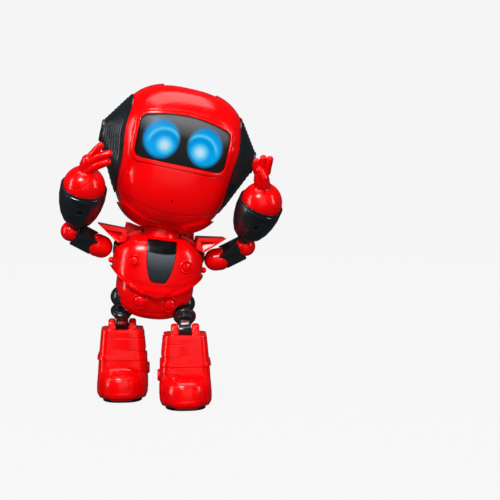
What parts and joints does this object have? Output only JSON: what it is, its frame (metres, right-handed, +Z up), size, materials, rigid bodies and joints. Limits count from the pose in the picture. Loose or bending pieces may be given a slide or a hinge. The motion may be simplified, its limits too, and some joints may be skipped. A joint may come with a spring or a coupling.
{
  "type": "toy robot",
  "caption": "Round-headed toy robot with a screen face and light-up eyes, jointed arms raised beside its ears, a rounded torso and chunky boots with drive wheels.",
  "frame": {"origin": "on the floor under the middle of the robot's bounding box, at rest", "axes": "+Z up from the floor to the head, -Y the way the face looks, +X to the right of someone facing it"},
  "size_m": [0.1346, 0.076, 0.1959],
  "materials": {
    "red_plastic": "glossy moulded plastic",
    "dark_plastic": "satin moulded plastic",
    "black_gloss": "polished dark plastic",
    "eye_light": "lit light guide",
    "circuit_board": "solder-masked board",
    "motor_steel": "drawn steel can",
    "tyre_rubber": "moulded rubber"
  },
  "bodies": {
    "torso": {"chest_shell": "red_plastic", "back_shell": "red_plastic", "battery_door": "red_plastic", "chest_panel": "black_gloss", "neck_collar": "red_plastic", "pelvis_shell": "red_plastic", "battery_pack": "dark_plastic", "main_board": "circuit_board", "speaker": "black_gloss", "shoulder_guard_left": "red_plastic", "shoulder_guard_right": "red_plastic"},
    "switch": {"power_switch": "black_gloss"},
    "neck_turner": {"neck_ring": "dark_plastic"},
    "neck_nodder": {"neck_ball": "dark_plastic"},
    "head": {"head_front_shell": "red_plastic", "head_rear_shell": "red_plastic", "crown_plate": "red_plastic", "jaw_shell": "red_plastic", "visor_bezel": "red_plastic", "visor_lens": "black_gloss", "eye_disc_left": "eye_light", "eye_disc_right": "eye_light", "eye_board": "circuit_board", "neck_socket": "dark_plastic", "ear_cap_left": "dark_plastic", "ear_cap_right": "dark_plastic"},
    "shoulder_left": {"shoulder_stub_left": "dark_plastic", "shoulder_ball_left": "red_plastic"},
    "upper_arm_left": {"upper_arm_link_left": "dark_plastic", "elbow_ball_left": "red_plastic"},
    "forearm_left": {"forearm_cup_left": "dark_plastic"},
    "hand_left": {"hand_dome_left": "red_plastic", "hand_fingers_left": "red_plastic"},
    "leg_left": {"hip_ball_left": "dark_plastic", "knee_collar_left": "dark_plastic", "ankle_post_left": "dark_plastic"},
    "boot_left": {"boot_shin_left": "red_plastic", "boot_toe_cap_left": "red_plastic", "sole_plate_left": "dark_plastic", "side_knob_left": "red_plastic", "drive_motor_left": "motor_steel"},
    "wheel_left": {"drive_wheel_left": "tyre_rubber"},
    "shoulder_right": {"shoulder_stub_right": "dark_plastic", "shoulder_ball_right": "red_plastic"},
    "upper_arm_right": {"upper_arm_link_right": "dark_plastic", "elbow_ball_right": "red_plastic"},
    "forearm_right": {"forearm_cup_right": "dark_plastic"},
    "hand_right": {"hand_dome_right": "red_plastic", "hand_fingers_right": "red_plastic"},
    "leg_right": {"hip_ball_right": "dark_plastic", "knee_collar_right": "dark_plastic", "ankle_post_right": "dark_plastic"},
    "boot_right": {"boot_shin_right": "red_plastic", "boot_toe_cap_right": "red_plastic", "sole_plate_right": "dark_plastic", "side_knob_right": "red_plastic", "drive_motor_right": "motor_steel"},
    "wheel_right": {"drive_wheel_right": "tyre_rubber"}
  },
  "joints": [
    {"name": "neck_turn", "type": "hinge", "parent": "torso", "child": "neck_turner", "pos_m": [-0.00532, 0.00449, 0.11294], "axis": [0.1271, 0, 0.9919], "range_deg": [-12, 12]},
    {"name": "neck_nod", "type": "hinge", "parent": "neck_turner", "child": "neck_nodder", "pos_m": [-0.00532, 0.00449, 0.11294], "axis": [0.9895, 0.0698, -0.1268], "range_deg": [-5, 5]},
    {"name": "neck_tilt", "type": "hinge", "parent": "neck_nodder", "child": "head", "pos_m": [-0.00532, 0.00449, 0.11294], "axis": [-0.0692, 0.9976, 0.0089], "range_deg": [-7, 2]},
    {"name": "power_switch_slide", "type": "slide", "parent": "torso", "child": "switch", "axis": [0.9895, 0.0698, -0.1268], "range_m": [-0.0018, 0]},
    {"name": "shoulder_swing_left", "type": "hinge", "parent": "torso", "child": "shoulder_left", "pos_m": [-0.04571, 0.00182, 0.09755], "axis": [0.9895, 0.0698, -0.1268], "range_deg": [0, 110]},
    {"name": "shoulder_lift_left", "type": "hinge", "parent": "shoulder_left", "child": "upper_arm_left", "pos_m": [-0.04571, 0.00182, 0.09755], "axis": [-0.0036, -0.8639, -0.5036], "range_deg": [0, 55]},
    {"name": "elbow_bend_left", "type": "hinge", "parent": "upper_arm_left", "child": "forearm_left", "pos_m": [-0.06121, -0.0033, 0.10645], "axis": [-0.0036, -0.8639, -0.5036], "range_deg": [0, 55]},
    {"name": "wrist_turn_left", "type": "hinge", "parent": "forearm_left", "child": "hand_left", "pos_m": [-0.05186, -0.01942, 0.13404], "axis": [-0.2082, 0.4932, -0.8446], "range_deg": [0, 90]},
    {"name": "hip_swing_left", "type": "hinge", "parent": "torso", "child": "leg_left", "pos_m": [-0.03113, 0.00312, 0.06533], "axis": [1, 0, 0], "range_deg": [-8, 10]},
    {"name": "ankle_pitch_left", "type": "hinge", "parent": "leg_left", "child": "boot_left", "pos_m": [-0.03113, 0.01463, 0.046], "axis": [1, 0, 0], "range_deg": [-8, 8]},
    {"name": "wheel_spin_left", "type": "hinge", "parent": "boot_left", "child": "wheel_left", "pos_m": [-0.03113, 0.01463, 0.00705], "axis": [1, 0, 0], "continuous": true},
    {"name": "shoulder_swing_right", "type": "hinge", "parent": "torso", "child": "shoulder_right", "pos_m": [0.02989, 0.00715, 0.08786], "axis": [0.9895, 0.0698, -0.1268], "range_deg": [0, 110]},
    {"name": "shoulder_lift_right", "type": "hinge", "parent": "shoulder_right", "child": "upper_arm_right", "pos_m": [0.02989, 0.00715, 0.08786], "axis": [0.0036, 0.8639, 0.5036], "range_deg": [0, 55]},
    {"name": "elbow_bend_right", "type": "hinge", "parent": "upper_arm_right", "child": "forearm_right", "pos_m": [0.04575, 0.00221, 0.09623], "axis": [0.0036, 0.8639, 0.5036], "range_deg": [0, 55]},
    {"name": "wrist_turn_right", "type": "hinge", "parent": "forearm_right", "child": "hand_right", "pos_m": [0.05421, -0.01403, 0.12403], "axis": [0.3258, -0.4772, 0.8162], "range_deg": [0, 90]},
    {"name": "hip_swing_right", "type": "hinge", "parent": "torso", "child": "leg_right", "pos_m": [0.00766, 0.00585, 0.06037], "axis": [1, 0, 0], "range_deg": [-8, 10]},
    {"name": "ankle_pitch_right", "type": "hinge", "parent": "leg_right", "child": "boot_right", "pos_m": [0.00766, -0.01146, 0.046], "axis": [1, 0, 0], "range_deg": [-8, 8]},
    {"name": "wheel_spin_right", "type": "hinge", "parent": "boot_right", "child": "wheel_right", "pos_m": [0.00766, -0.01146, 0.00705], "axis": [1, 0, 0], "continuous": true}
  ]
}
